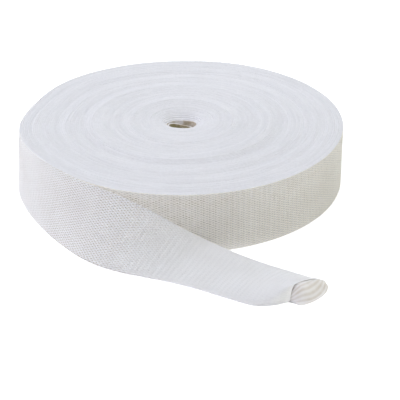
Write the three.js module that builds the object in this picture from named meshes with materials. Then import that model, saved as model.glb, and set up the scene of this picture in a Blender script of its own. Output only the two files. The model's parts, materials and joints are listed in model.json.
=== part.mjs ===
// A roll of knitted tubular bandage, lying on its flat side with its loose end pulled out.
// Lengths are in millimetres and angles in degrees. +Z is up, along the roll's axis.
// The tube is wound flat, so the tape is two plies joined by a fold at each edge.
import * as THREE from "three";

// The tape.
const TAPE_WIDTH = 30;
const TURN_PITCH = 0.95; // one turn: two plies under winding tension
const LOOSE_THICKNESS = 1.3; // two plies where they lie loose
const LOOSENS_OVER = 0.2; // the share of the loose end in which they swell to that
const PLY = 0.95; // one ply at the mouth, as thick as a solid sheet can be made

// The roll.
const ROLL_RADIUS = 78.6; // at the end of the outermost wound turn
const HOLE_RADIUS = 7; // no core, just the space inside the first turn
const LOOSE_FROM = 158; // where the outermost turn comes away from the roll
const FIRST_TURN_ENDS = 15; // where the tape's inner end lies in the hole
const RIM_ROUND = 0.9; // the fold along a turn's edge
const FACE_WAVE = 0.15; // how far the wound edges wander up and down
const FACE_WAVES = 3; // round one turn
const WAVE_SHIFT = 9; // the radius over which the waves move on by a radian
const RIM_STEP = 0.01; // half the angle in which the rim steps in by a turn
const HOLE_STEP = 0.4; // half the angle in which the hole does
const ROLL_COLUMNS = 112;
const INNER_TURNS = 17; // within this radius the face's steps follow the tape's inner end
const OUTER_TURNS = 62; // and beyond this one they follow the rim

// The roll isn't quite round: it swells or is pressed in by a little round these angles.
const SWELLS = [
  { angle: 60, spread: 25, by: 0.7 },
  { angle: 93, spread: 16, by: -0.6 },
  { angle: 136, spread: 12, by: 0.6 },
  { angle: 160, spread: 12, by: -1.2 },
  { angle: 188, spread: 12, by: 0.9 },
  { angle: 220, spread: 16, by: -1.3 },
];

// The upper face, from the hole to the rim. The turns slip past each other in a few steps.
const FACE_STEPS = [
  { radius: 8.2, lift: -1.9 },
  { radius: 10, lift: -1.1 },
  { radius: 12.5, lift: -0.5 },
  { radius: 17, lift: 0.2 },
  { radius: 25, lift: 0.75 },
  { radius: 26.6, lift: 0.4 },
  { radius: 36, lift: 0.55 },
  { radius: 45, lift: 0.7 },
  { radius: 47, lift: -0.15 },
  { radius: 57, lift: 0.1 },
  { radius: 58.8, lift: -0.25 },
  { radius: 65.8, lift: 0.05 },
  { radius: 67.4, lift: -0.15 },
];
const HOLE_LIFT = -2.8; // the first turns have sunk a little

// The loose end, a row for each section from the roll to the mouth. The upper fold and the lower
// one are given round the roll's axis. sag is how far the section hollows towards the roll and
// the surface, and gape is how far the tube stands open.
const LOOSE_ROWS = [
  { topAngle: 158.3, topRadius: 77.3, topHeight: 29.4, footAngle: 158.3, footRadius: 77.3, sag: 0, gape: 0 },
  { topAngle: 170, topRadius: 78.2, topHeight: 29.5, footAngle: 170, footRadius: 78.5, sag: 0, gape: 0 },
  { topAngle: 182, topRadius: 79.4, topHeight: 29.6, footAngle: 181.5, footRadius: 80, sag: 0, gape: 0 },
  { topAngle: 195, topRadius: 79.5, topHeight: 29.8, footAngle: 193, footRadius: 81, sag: 0, gape: 0 },
  { topAngle: 207, topRadius: 78.5, topHeight: 30, footAngle: 205, footRadius: 81.6, sag: 0.2, gape: 0 },
  { topAngle: 218, topRadius: 77.9, topHeight: 30.1, footAngle: 216, footRadius: 83.2, sag: 0.5, gape: 0 },
  { topAngle: 228, topRadius: 78, topHeight: 30.1, footAngle: 225.5, footRadius: 85.8, sag: 1, gape: 0 },
  { topAngle: 236.5, topRadius: 78.8, topHeight: 29.7, footAngle: 233.5, footRadius: 89, sag: 1.6, gape: 0 },
  { topAngle: 244.5, topRadius: 79.3, topHeight: 28.2, footAngle: 240.5, footRadius: 92.6, sag: 2.4, gape: 0 },
  { topAngle: 252.9, topRadius: 79.4, topHeight: 24.2, footAngle: 247.3, footRadius: 95.6, sag: 3.2, gape: 0 },
  { topAngle: 261.8, topRadius: 79.5, topHeight: 18.2, footAngle: 254.2, footRadius: 97.8, sag: 3.4, gape: 0 },
  { topAngle: 270.4, topRadius: 79.9, topHeight: 11.6, footAngle: 261.4, footRadius: 99.9, sag: 2.6, gape: 0 },
  { topAngle: 278.6, topRadius: 82, topHeight: 6.3, footAngle: 268.4, footRadius: 103.9, sag: 1.2, gape: 0 },
  { topAngle: 285.8, topRadius: 88.6, topHeight: 3.4, footAngle: 274.6, footRadius: 110.5, sag: 0.4, gape: 0.1 },
  { topAngle: 291.5, topRadius: 98.4, topHeight: 2, footAngle: 279.4, footRadius: 118.3, sag: 0, gape: 1.2 },
  { topAngle: 296.1, topRadius: 109.4, topHeight: 1.4, footAngle: 283.9, footRadius: 125.9, sag: 0, gape: 4.2 },
  { topAngle: 298.5, topRadius: 116.3, topHeight: 1, footAngle: 287.5, footRadius: 127.6, sag: 0, gape: 6.8 },
  { topAngle: 299.9, topRadius: 121, topHeight: 0.7, footAngle: 290.4, footRadius: 127, sag: 0, gape: 7.1 },
];
const LOOSE_STEPS = 62; // sections made through those rows
const PLY_POINTS = 11; // across one ply
const ARCH_SQUARE = 20; // how upright the open tube's outer side stands
const ARCH_FULL = 0.7; // how full its rise is from the other side, 1 for a sine
const FOLD_RISE = 0.15; // how high that side's fold comes, as a share of the gape

// The mouth, where the tube was cut off.
const POCKET_DEPTH = 15; // how far in the plies stand apart
const POCKET_STEPS = 18;
const TONGUE = 5.6; // how far the lower ply runs out past the upper one
const GATHER_PITCH = 3; // the lower ply lies in small gathers there
const GATHER_HEIGHT = 0.5;
const SLIT = 0.12; // half of what is left open where the plies meet inside

const radians = THREE.MathUtils.degToRad;

// A point given by its angle and radius round the roll's axis.
function round(angle, radius, height) {
  return new THREE.Vector3(radius * Math.cos(radians(angle)), radius * Math.sin(radians(angle)), height);
}

// The share of a turn from one angle back to another, 0 to 1.
function turnShare(from, to) {
  return THREE.MathUtils.euclideanModulo(from - to, 360) / 360;
}

// A mesh on rings of points, each ring with as many points as the next. The rings close on
// themselves, and joined closes the last ring on the first.
function ringMesh(name, rings, joined, color) {
  const count = rings[0].length;
  const points = rings.flat();
  const faces = [];
  const last = joined ? rings.length : rings.length - 1;
  for (let i = 0; i < last; i++) {
    const next = (i + 1) % rings.length;
    for (let j = 0; j < count; j++) {
      const k = (j + 1) % count;
      const [a, b, c, d] = [i * count + j, next * count + j, next * count + k, i * count + k];
      faces.push(a, c, b, a, d, c);
    }
  }
  if (!joined) {
    faces.push(...capFaces(0, count, true));
    faces.push(...capFaces((rings.length - 1) * count, count, false));
  }
  const geometry = new THREE.BufferGeometry().setFromPoints(points);
  geometry.setIndex(faces);
  geometry.computeVertexNormals();
  const mesh = new THREE.Mesh(geometry, new THREE.MeshStandardMaterial({ color, roughness: 0.95, metalness: 0 }));
  mesh.name = name;
  return mesh;
}

// The faces that close a flat ring: they run from one ply to the other, from fold to fold.
function capFaces(start, count, turned) {
  const faces = [];
  const add = (a, b, c) => faces.push(start + a, start + (turned ? c : b), start + (turned ? b : c));
  for (let i = 0; i < count / 2; i++) {
    if (i < count / 2 - 1) add(i, i + 1, count - i - 1);
    if (i > 0) add(i, count - i - 1, count - i);
  }
  return faces;
}

// The wound roll's outside, which steps in by one turn where the loose turn starts.
function outerRadius(angle) {
  let radius = ROLL_RADIUS - TURN_PITCH * turnShare(LOOSE_FROM, angle);
  for (const swell of SWELLS) {
    const off = THREE.MathUtils.euclideanModulo(angle - swell.angle + 180, 360) - 180;
    radius += swell.by * Math.exp(-((off / swell.spread) ** 2));
  }
  return radius;
}

// The hole's side, with a step where the tape's inner end lies.
function holeRadius(angle) {
  return HOLE_RADIUS + TURN_PITCH * (0.5 - turnShare(FIRST_TURN_ENDS, angle));
}

// One radial section of the roll: up the hole, out over the upper face, down the side, back under.
function rollSection(angle) {
  const hole = holeRadius(angle);
  const rim = outerRadius(angle);
  const wave = (radius) => FACE_WAVE * Math.sin(radians(FACE_WAVES * angle) + radius / WAVE_SHIFT);
  const spread = (radius) => {
    const nearHole = Math.max((INNER_TURNS - radius) / (INNER_TURNS - HOLE_RADIUS), 0);
    const nearRim = Math.max((radius - OUTER_TURNS) / (ROLL_RADIUS - OUTER_TURNS), 0);
    return radius + nearHole * (hole - HOLE_RADIUS) + nearRim * (rim - ROLL_RADIUS);
  };
  const corner = RIM_ROUND * (1 - Math.SQRT1_2);
  const flank = [
    [rim - RIM_ROUND, TAPE_WIDTH],
    [rim - corner, TAPE_WIDTH - corner],
    [rim, TAPE_WIDTH - RIM_ROUND],
    [rim, TAPE_WIDTH / 2],
    [rim, RIM_ROUND],
    [rim - corner, corner],
    [rim - RIM_ROUND, 0],
    [(rim + hole) / 2, 0],
    [hole + RIM_ROUND, 0],
    [hole, RIM_ROUND],
    [hole, TAPE_WIDTH / 2],
    [hole, TAPE_WIDTH + HOLE_LIFT],
  ];
  const face = FACE_STEPS.map(({ radius, lift }) => [spread(radius), TAPE_WIDTH + lift + wave(radius)]);
  return [...face, ...flank].map(([radius, height]) => round(angle, radius, height));
}

function makeRoll() {
  const angles = [360 + FIRST_TURN_ENDS - HOLE_STEP, 360 + FIRST_TURN_ENDS + HOLE_STEP];
  for (let i = 0; i < ROLL_COLUMNS; i++) {
    angles.push(LOOSE_FROM + RIM_STEP + (i * (360 - 2 * RIM_STEP)) / (ROLL_COLUMNS - 1));
  }
  angles.sort((a, b) => a - b);
  return ringMesh("wound_roll", angles.map(rollSection), true, 0xdfe1e8);
}

// A smooth run through one value of each row, from 0 at the first row to 1 at the last.
function through(pick) {
  return new THREE.CatmullRomCurve3(LOOSE_ROWS.map(pick), false, "centripetal");
}

const topFold = through((row) => round(row.topAngle, row.topRadius, row.topHeight));
const footFold = through((row) => round(row.footAngle, row.footRadius, LOOSE_THICKNESS / 2));
const form = through((row) => new THREE.Vector3(row.sag, row.gape, 0));

// The tape's section at share t of its rows: its two folds, its frame and its shape there.
function looseSection(t) {
  const [top, foot] = [topFold.getPoint(t), footFold.getPoint(t)];
  const across = foot.clone().sub(top);
  const forward = topFold.getTangent(t).add(footFold.getTangent(t));
  const out = across.clone().cross(forward).normalize();
  const along = out.clone().cross(across).setZ(0).normalize();
  const { x: sag, y: gape } = form.getPoint(t);
  const half = THREE.MathUtils.lerp(TURN_PITCH, LOOSE_THICKNESS, Math.min(t / LOOSENS_OVER, 1)) / 2;
  return { top, foot, across, along, out, half, sag: Math.max(sag, 0), gape: Math.max(gape, 0) };
}

// A point of the flat tape's middle at share u of its width, kept on the surface it lies on.
function middle(section, u) {
  const point = section.top.clone().addScaledVector(section.across, u);
  point.addScaledVector(section.out, -section.sag * 4 * u * (1 - u));
  point.z = Math.max(point.z, section.half);
  return point;
}

// How far the open tube's upper ply is lifted at share u of the width, as a share of the gape.
function arch(u) {
  return Math.sin((Math.PI * u) / 2) ** ARCH_FULL * Math.sqrt(1 - u ** ARCH_SQUARE);
}

// How far the tongue runs out at share u of the width: it is round at the top fold's side.
function tongue(u) {
  return TONGUE * Math.sqrt(1 - (1 - u) ** 4);
}

// A ring round the tape, inset by some of its thickness. The upper ply runs from the top fold to
// the foot and the lower one back. reach, 0 or 1, draws the tongue out, and gather lifts the
// lower ply.
function looseRing(section, inset, reach, gather) {
  const { half } = section;
  const sideways = section.across.clone().normalize();
  const shares = Array.from({ length: PLY_POINTS }, (_, i) => {
    return (1 - Math.cos((Math.PI * (i + 0.5)) / PLY_POINTS)) / 2;
  });
  const place = (u, side, height, run) =>
    middle(section, u)
      .addScaledVector(sideways, side)
      .addScaledVector(section.out, height)
      .addScaledVector(section.along, run);
  const upper = (u) => Math.max(half + section.gape * arch(u) - inset, SLIT);
  const lower = (u) => Math.min(inset - half + gather * Math.sin(Math.PI * u), upper(u) - 2 * SLIT);
  return [
    place(0, inset ? SLIT : -half, 0, 0),
    ...shares.map((u) => place(u, 0, upper(u), 0)),
    place(1, inset ? -inset : half, section.gape * FOLD_RISE, 0),
    ...shares.toReversed().map((u) => place(u, 0, lower(u), reach * tongue(u))),
  ];
}

function makeLooseEnd() {
  const rings = [];
  for (let i = 0; i <= LOOSE_STEPS; i++) {
    rings.push(looseRing(looseSection(i / LOOSE_STEPS), 0, i === LOOSE_STEPS ? 1 : 0, 0));
  }
  const pocketShare = POCKET_DEPTH / footFold.getLength();
  for (let i = 0; i <= POCKET_STEPS; i++) {
    const depth = (i / POCKET_STEPS) * POCKET_DEPTH;
    const gather = GATHER_HEIGHT * Math.sin((Math.PI * depth) / GATHER_PITCH) ** 2;
    const section = looseSection(1 - (i / POCKET_STEPS) * pocketShare);
    rings.push(looseRing(section, PLY, i === 0 ? 1 : 0, gather * (1 - i / POCKET_STEPS)));
  }
  return ringMesh("loose_end", rings, false, 0xe0e2ea);
}

// The part's origin is on the surface that it lies on, under the middle of its box.
const bandage = new THREE.Group();
bandage.add(makeRoll(), makeLooseEnd());
const box = new THREE.Box3().setFromObject(bandage);
bandage.position.set(-(box.min.x + box.max.x) / 2, -(box.min.y + box.max.y) / 2, 0);

export default bandage;
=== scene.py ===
"""A roll of knitted tubular bandage with its loose end pulled out.

The bandage is one long jersey tube of bleached cotton. It is pressed flat into a tape of two plies
and wound on itself without a core. The last part of it has come away from the roll, turns over on
its way down, and ends in the tube's open mouth.

Sizes are in millimetres and angles in degrees, as long as no name says otherwise. Points are put
into the frame's metres as the last step of each mesh.
"""

import json
import logging
import math
from dataclasses import dataclass
from enum import Enum
from typing import Any, Sequence

import bpy
import numpy as np
from mathutils import Matrix, Vector


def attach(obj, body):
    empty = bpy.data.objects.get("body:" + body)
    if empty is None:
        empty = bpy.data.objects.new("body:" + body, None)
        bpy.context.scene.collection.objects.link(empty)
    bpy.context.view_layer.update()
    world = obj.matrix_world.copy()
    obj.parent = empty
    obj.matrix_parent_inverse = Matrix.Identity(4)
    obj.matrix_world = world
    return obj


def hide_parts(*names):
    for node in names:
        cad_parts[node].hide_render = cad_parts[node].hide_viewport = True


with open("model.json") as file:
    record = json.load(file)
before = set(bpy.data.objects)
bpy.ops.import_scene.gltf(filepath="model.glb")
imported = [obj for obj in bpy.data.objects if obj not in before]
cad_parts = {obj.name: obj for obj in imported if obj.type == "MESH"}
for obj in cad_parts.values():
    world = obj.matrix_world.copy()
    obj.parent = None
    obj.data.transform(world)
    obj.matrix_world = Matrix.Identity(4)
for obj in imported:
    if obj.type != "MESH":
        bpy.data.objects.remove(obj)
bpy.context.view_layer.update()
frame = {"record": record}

MM = 0.001
BODY = "root"
TAPE_UV = "TapeUV"  # along the tape and across it, 0 to 1 over the piece
YARN_UV = "YarnUV"  # along the yarn in millimetres and round it, 0 to 1

# The kinds of node that are used most.
MATH = "ShaderNodeMath"
VECTOR_MATH = "ShaderNodeVectorMath"
COMBINE = "ShaderNodeCombineXYZ"
SEPARATE = "ShaderNodeSeparateXYZ"
NOISE = "ShaderNodeTexNoise"
MAP_RANGE = "ShaderNodeMapRange"
MIX = "ShaderNodeMix"
SET_POSITION = "GeometryNodeSetPosition"
STORE = "GeometryNodeStoreNamedAttribute"
NAMED = "GeometryNodeInputNamedAttribute"

MIX_A, MIX_B, MIXED = 6, 7, 2  # the Mix node's colour sockets
ON_POINTS = {"data_type": "FLOAT", "domain": "POINT"}

# Light goes about half a millimetre into the cotton before it comes out again.
SCATTERING = {
    "Subsurface Weight": 0.6,
    "Subsurface Radius": (1.0, 0.95, 0.9),
    "Subsurface Scale": 0.5 * MM,
}

log = logging.getLogger("bandage")


def linear(colour: str) -> tuple[float, float, float, float]:
    """Turns an sRGB hex colour into the linear one that a shader takes.

    Args:
        colour: Six hex digits after a hash.

    Returns:
        Red, green, blue and an alpha of 1.
    """
    channels = [int(colour[i : i + 2], 16) / 255 for i in (1, 3, 5)]
    curve = [c / 12.92 if c <= 0.04045 else ((c + 0.055) / 1.055) ** 2.4 for c in channels]
    return (*curve, 1.0)


def add_node(
    tree: bpy.types.NodeTree, kind: str, inputs: dict | None = None, **settings: Any
) -> bpy.types.Node:
    """Adds a node with its settings, values and links.

    Args:
        tree: The shader or geometry tree.
        kind: The node's type name.
        inputs: For each input, by name or number, a value, the socket that is linked to it, or the
            node whose first output is.
        **settings: Properties of the node itself.

    Returns:
        The new node.
    """
    node = tree.nodes.new(kind)
    for name, value in settings.items():
        setattr(node, name, value)
    for key, value in (inputs or {}).items():
        source = value.outputs[0] if isinstance(value, bpy.types.Node) else value
        if isinstance(source, bpy.types.NodeSocket):
            tree.links.new(source, node.inputs[key])
        else:
            node.inputs[key].default_value = source
    return node


def add_object(name: str, data: bpy.types.ID) -> bpy.types.Object:
    """Adds an object to the scene, at the origin.

    Args:
        name: The object's name.
        data: Its mesh, light or camera.

    Returns:
        The object.
    """
    thing = bpy.data.objects.new(name, data)
    bpy.context.scene.collection.objects.link(thing)
    return thing


def mesh_object(name: str, points: np.ndarray, faces: Sequence[Sequence[int]]) -> bpy.types.Object:
    """Makes a smooth mesh object at the origin.

    Args:
        name: The object's name.
        points: One row for each point, in metres.
        faces: The corner numbers of each face.

    Returns:
        The object, linked to the scene.
    """
    mesh = bpy.data.meshes.new(name)
    mesh.from_pydata(points.tolist(), [], [list(f) for f in faces])
    mesh.polygons.foreach_set("use_smooth", [True] * len(mesh.polygons))
    mesh.update()
    return add_object(name, mesh)


def store_uv(mesh: bpy.types.Mesh, name: str, corners: np.ndarray) -> None:
    """Stores a UV map, given one row for each face corner."""
    layer = mesh.uv_layers.new(name=name)
    layer.data.foreach_set("uv", corners.astype(np.float32).ravel())


def store_on_points(mesh: bpy.types.Mesh, name: str, values: np.ndarray) -> None:
    """Stores an attribute on a mesh's points.

    Args:
        mesh: The mesh.
        name: The attribute's name.
        values: One number, or one direction in a row, for each point.
    """
    kind, key = ("FLOAT_VECTOR", "vector") if values.ndim > 1 else ("FLOAT", "value")
    layer = mesh.attributes.new(name, kind, "POINT")
    layer.data.foreach_set(key, values.astype(np.float32).ravel())


def in_frame(points: np.ndarray, axis: Vector) -> np.ndarray:
    """Puts points round the roll's axis, in millimetres, into the frame's metres, one in a row."""
    return points.reshape(-1, 3) * MM + np.array([axis.x, axis.y, 0.0])


def ramp(value: np.ndarray, start: float, end: float) -> np.ndarray:
    """A smooth step of value, from 0 at start to 1 at end."""
    share = np.clip((value - start) / (end - start), 0.0, 1.0)
    return share * share * (3.0 - 2.0 * share)


@dataclass(frozen=True)
class Change:
    """A smooth change between two places."""

    by: float
    start: float
    end: float

    def at(self, place: np.ndarray) -> np.ndarray:
        """How much of the change has been made at each place."""
        return self.by * ramp(place, self.start, self.end)


@dataclass(frozen=True)
class Wander:
    """A smooth random run along a length."""

    height: float  # it lies mostly within this on either side of nothing
    spacing: float  # how far apart the random heights are that it passes through
    seed: int

    def at(self, along: np.ndarray) -> np.ndarray:
        """The height at each place along the length.

        Args:
            along: The places.

        Returns:
            A height for each place.
        """
        place = np.asarray(along) / self.spacing
        place = place - place.min()
        knots = np.random.default_rng(self.seed).normal(0.0, 0.5, int(place.max()) + 5)
        index = np.floor(place).astype(int)
        share = place - index
        before, low, high, after = (knots[index + i] for i in range(4))
        slope_low, slope_high = (high - before) / 2, (after - low) / 2
        cube, square = share**3, share**2
        return self.height * (
            low * (2 * cube - 3 * square + 1)
            + slope_low * (cube - 2 * square + share)
            + high * (3 * square - 2 * cube)
            + slope_high * (cube - square)
        )


def total(parts: Sequence[Change | Wander], place: np.ndarray) -> np.ndarray:
    """The sum of some changes or runs at each place."""
    return sum(part.at(place) for part in parts)


def centripetal(points: np.ndarray, shares: np.ndarray) -> np.ndarray:
    """A smooth centripetal run through points, the same as the construction's.

    Args:
        points: One row for each point that the run passes through.
        shares: Where the run is wanted, from 0 at the first point to 1 at the last.

    Returns:
        One row for each share.
    """
    ends = np.vstack([2 * points[0] - points[1], points, 2 * points[-1] - points[-2]])
    place = np.clip(shares, 0.0, 1.0) * (len(points) - 1)
    index = np.minimum(np.floor(place).astype(int), len(points) - 2)
    t = (place - index)[:, None]
    steps = np.sqrt(np.linalg.norm(np.diff(ends, axis=0), axis=1))
    steps = np.where(steps < 1e-4, 1.0, steps)
    p0, p1, p2, p3 = (ends[index + i] for i in range(4))
    d0, d1, d2 = (steps[index + i][:, None] for i in range(3))
    slope1 = ((p1 - p0) / d0 - (p2 - p0) / (d0 + d1) + (p2 - p1) / d1) * d1
    slope2 = ((p2 - p1) / d1 - (p3 - p1) / (d1 + d2) + (p3 - p2) / d2) * d1
    c2 = -3 * p1 + 3 * p2 - 2 * slope1 - slope2
    c3 = 2 * p1 - 2 * p2 + slope1 + slope2
    return p1 + slope1 * t + c2 * t**2 + c3 * t**3


@dataclass(frozen=True)
class Jersey:
    """The stitch of the tube: plain jersey, whose face shows columns of V's along the tape."""

    wale: float = 1.2  # from one column to the next
    course: float = 2.6  # from one stitch to the next in a column
    loop_height: float = 3.7  # a loop reaches up behind the stitch above it
    loop_lean: float = 0.335  # how far its legs draw together at the foot
    loop_depth: float = 0.09  # half the way from the legs in front to the head behind
    loop_rise: float = 0.09  # the legs stand out from the ground
    yarn_width: float = 0.5  # soft yarn lies flat
    yarn_thickness: float = 0.26
    steps: int = 8  # along the yarn, for each stitch
    sides: int = 5  # round it
    unevenness: float = 0.13  # how far stitches stray
    seed: int = 7  # of their straying


class Cut(Enum):
    """How a piece of knit meets its own edge."""

    TUBE = "closed round the tube"
    STRIP = "a strip with two edges"


class Finish:
    """A finish. Each kind gives its name and the nodes of its surface."""

    name: str

    def surface(self, tree: bpy.types.NodeTree) -> dict[str, Any]:
        """Adds the nodes of the pattern.

        Args:
            tree: The material's tree.

        Returns:
            The shader's inputs.
        """
        raise NotImplementedError

    def build(self) -> bpy.types.Material:
        """Builds the material.

        Returns:
            The material, with its nodes.
        """
        material = bpy.data.materials.new(self.name)
        material.use_nodes = True
        tree = material.node_tree
        tree.nodes.clear()
        shader = add_node(tree, "ShaderNodeBsdfPrincipled", self.surface(tree))
        add_node(tree, "ShaderNodeOutputMaterial", {"Surface": shader})
        return material


@dataclass(frozen=True)
class BleachedYarn(Finish):
    """Bleached cotton yarn, soft-spun: matte and nearly white, with a faint blue from the bleach.

    Its fibres scatter light at the edges, and its slack twist shows as slanted lines. On the packed
    turns a warm tint is painted in: painted light, standing for the light that leaves the yarn there
    after it has come out of the roll. That painted tint fades towards the back, where the same yarn
    runs on into the loose end.
    """

    name: str = "bleached_cotton_yarn"
    colour: str = "#f6f7fb"
    hollow_colour: str = "#f1f1f4"
    painted_warm_light: str = "#ffffff"  # painted warm light: the colour is multiplied by it at the front
    painted_warm_light_until: tuple[float, float] = (15.0, 50.0)  # along Y, where the painted warm light starts to fade and is gone
    twist_mm: float = 0.9  # the length of one turn of the twist
    fibre_mm: float = 2.2  # tufts of fibre, drawn much coarser than real ones so that they show
    patch_mm: float = 14.0
    twist_share: float = 0.35  # how high the twist stands against the fibre
    relief_mm: float = 0.08

    def surface(self, tree: bpy.types.NodeTree) -> dict[str, Any]:
        """Adds the twist, the fibres and the tint.

        Args:
            tree: The material's tree.

        Returns:
            The shader's inputs.
        """
        uv = add_node(tree, "ShaderNodeUVMap", uv_map=YARN_UV)
        split = add_node(tree, SEPARATE, {0: uv})
        run, girth = split.outputs["X"], split.outputs["Y"]
        turn = add_node(tree, MATH, {0: run, 1: 1.0 / self.twist_mm}, operation="MULTIPLY")
        slant = add_node(tree, MATH, {0: turn, 1: girth}, operation="ADD")
        wave = add_node(tree, MATH, {0: slant, 1: 2 * math.pi}, operation="MULTIPLY")
        twist = add_node(tree, MATH, {0: wave}, operation="SINE")
        place = add_node(tree, "ShaderNodeTexCoord").outputs["Object"]
        fibre = add_node(tree, NOISE, {"Vector": place, "Scale": 1.0 / (self.fibre_mm * MM), "Detail": 3.0})
        patch = add_node(tree, NOISE, {"Vector": place, "Scale": 1.0 / (self.patch_mm * MM), "Detail": 2.0})
        blend = add_node(tree, MAP_RANGE, {"Value": patch, "From Min": 0.35, "From Max": 0.7})
        colours = {"Factor": blend, MIX_A: linear(self.colour), MIX_B: linear(self.hollow_colour)}
        colour = add_node(tree, MIX, colours, data_type="RGBA").outputs[MIXED]
        # Painted warm light: the front of the roll is tinted warm, fading by Y towards the back.
        back = add_node(tree, SEPARATE, {0: place}).outputs["Y"]
        start, end = (y * MM for y in self.painted_warm_light_until)
        faded = add_node(tree, MAP_RANGE, {"Value": back, "From Min": start, "From Max": end})
        painted_warm_light_colours = {"Factor": faded, MIX_A: linear(self.painted_warm_light), MIX_B: linear("#ffffff")}
        painted_warm_light = add_node(tree, MIX, painted_warm_light_colours, data_type="RGBA").outputs[MIXED]
        both = {"Factor": 1.0, MIX_A: colour, MIX_B: painted_warm_light}
        painted_warm_lit_colour = add_node(tree, MIX, both, data_type="RGBA", blend_type="MULTIPLY").outputs[MIXED]
        height = add_node(tree, MATH, {0: twist, 1: self.twist_share, 2: fibre}, operation="MULTIPLY_ADD")
        relief = {"Strength": 0.35, "Distance": self.relief_mm * MM, "Height": height}
        return SCATTERING | {
            "Base Color": painted_warm_lit_colour,
            "Roughness": 0.88,
            "Specular IOR Level": 0.25,
            "Sheen Weight": 0.25,
            "Sheen Roughness": 0.5,
            "Normal": add_node(tree, "ShaderNodeBump", relief),
        }


@dataclass(frozen=True)
class ShadedGround(Finish):
    """What shows in the gaps of the knit: the backs of the stitches and the ply behind.

    Little light gets in, so its warm, darker colour is painted shade in the gaps.
    The attribute shade says how much of that tone shows. It is strongest where the stitches stand
    open, and next to nothing where the tape lies flat and they close up. It also dims the mouth.
    """

    name: str = "knit_ground_painted_shade"
    # colour is the painted shade in open gaps; light_colour is the ground where the stitches close up.
    colour: str = "#c6beb5"
    light_colour: str = "#f3f4f9"
    patch_mm: float = 5.0

    def surface(self, tree: bpy.types.NodeTree) -> dict[str, Any]:
        """Adds the patchy shade.

        Args:
            tree: The material's tree.

        Returns:
            The shader's inputs.
        """
        place = add_node(tree, "ShaderNodeTexCoord").outputs["Object"]
        patch = add_node(tree, NOISE, {"Vector": place, "Scale": 1.0 / (self.patch_mm * MM), "Detail": 4.0})
        patches = {"Value": patch, "From Min": 0.35, "From Max": 0.65, "To Min": 0.7}
        uneven = add_node(tree, MAP_RANGE, patches)
        # The attribute shade, made patchy, mixes in the painted shade.
        shade = add_node(tree, "ShaderNodeAttribute", attribute_name="shade").outputs["Fac"]
        blend = add_node(tree, MATH, {0: shade, 1: uneven}, operation="MULTIPLY")
        colours = {"Factor": blend, MIX_A: linear(self.light_colour), MIX_B: linear(self.colour)}
        colour = add_node(tree, MIX, colours, data_type="RGBA").outputs[MIXED]
        return SCATTERING | {"Base Color": colour, "Roughness": 0.95, "Specular IOR Level": 0.15}


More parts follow.
